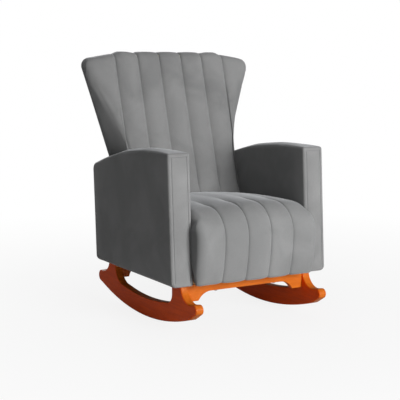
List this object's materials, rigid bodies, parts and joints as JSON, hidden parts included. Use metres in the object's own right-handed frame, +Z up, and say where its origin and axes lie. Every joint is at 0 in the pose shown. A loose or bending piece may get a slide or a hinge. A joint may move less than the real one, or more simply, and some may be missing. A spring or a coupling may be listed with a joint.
{
  "type": "rocking chair",
  "caption": "Upholstered nursing rocking chair: box arms, channelled seat, flared channelled back, and two sawn wooden rockers joined by arched rails.",
  "frame": {"origin": "on the floor, under the middle of the chair's box", "axes": "+Z up, -Y to the chair's front, +X to the right for someone who faces its front along +Y"},
  "size_m": [0.71, 0.77, 0.95],
  "materials": {
    "varnished_wood": "gloss",
    "grey_velvet": "matte",
    "frame_timber": "matte",
    "foam": "matte",
    "black_cloth": "matte",
    "webbing": "matte",
    "steel": "satin"
  },
  "bodies": {
    "root": {"arm_bolt_front_left": "steel", "arm_bolt_front_right": "steel", "arm_bolt_rear_left": "steel", "arm_bolt_rear_right": "steel", "arm_bottom_rail_left": "frame_timber", "arm_bottom_rail_right": "frame_timber", "arm_cover_left": "grey_velvet", "arm_cover_right": "grey_velvet", "arm_facing_left": "grey_velvet", "arm_facing_right": "grey_velvet", "arm_front_post_left": "frame_timber", "arm_front_post_right": "frame_timber", "arm_rear_post_left": "frame_timber", "arm_rear_post_right": "frame_timber", "arm_top_board_left": "frame_timber", "arm_top_board_right": "frame_timber", "back_board": "frame_timber", "back_bottom_rail": "frame_timber", "back_cover": "grey_velvet", "back_foam": "foam", "back_middle_rail": "frame_timber", "back_panel": "grey_velvet", "back_stile_left": "frame_timber", "back_stile_right": "frame_timber", "back_top_rail": "frame_timber", "back_webbing_1": "webbing", "back_webbing_2": "webbing", "back_webbing_3": "webbing", "base_screw_front_left": "steel", "base_screw_front_right": "steel", "base_screw_rear_left": "steel", "base_screw_rear_right": "steel", "corner_block_front_left": "frame_timber", "corner_block_front_right": "frame_timber", "corner_block_rear_left": "frame_timber", "corner_block_rear_right": "frame_timber", "dowel_front_left_1": "frame_timber", "dowel_front_left_2": "frame_timber", "dowel_front_right_1": "frame_timber", "dowel_front_right_2": "frame_timber", "dowel_rear_left_1": "frame_timber", "dowel_rear_left_2": "frame_timber", "dowel_rear_right_1": "frame_timber", "dowel_rear_right_2": "frame_timber", "dust_cover": "black_cloth", "front_apron_rail": "varnished_wood", "rear_apron_rail": "varnished_wood", "rocker_left": "varnished_wood", "rocker_right": "varnished_wood", "seat_cover": "grey_velvet", "seat_foam": "foam", "seat_rail_front": "frame_timber", "seat_rail_left": "frame_timber", "seat_rail_rear": "frame_timber", "seat_rail_right": "frame_timber", "seat_webbing_1": "webbing", "seat_webbing_2": "webbing", "seat_webbing_3": "webbing", "seat_webbing_4": "webbing"}
  },
  "joints": []
}
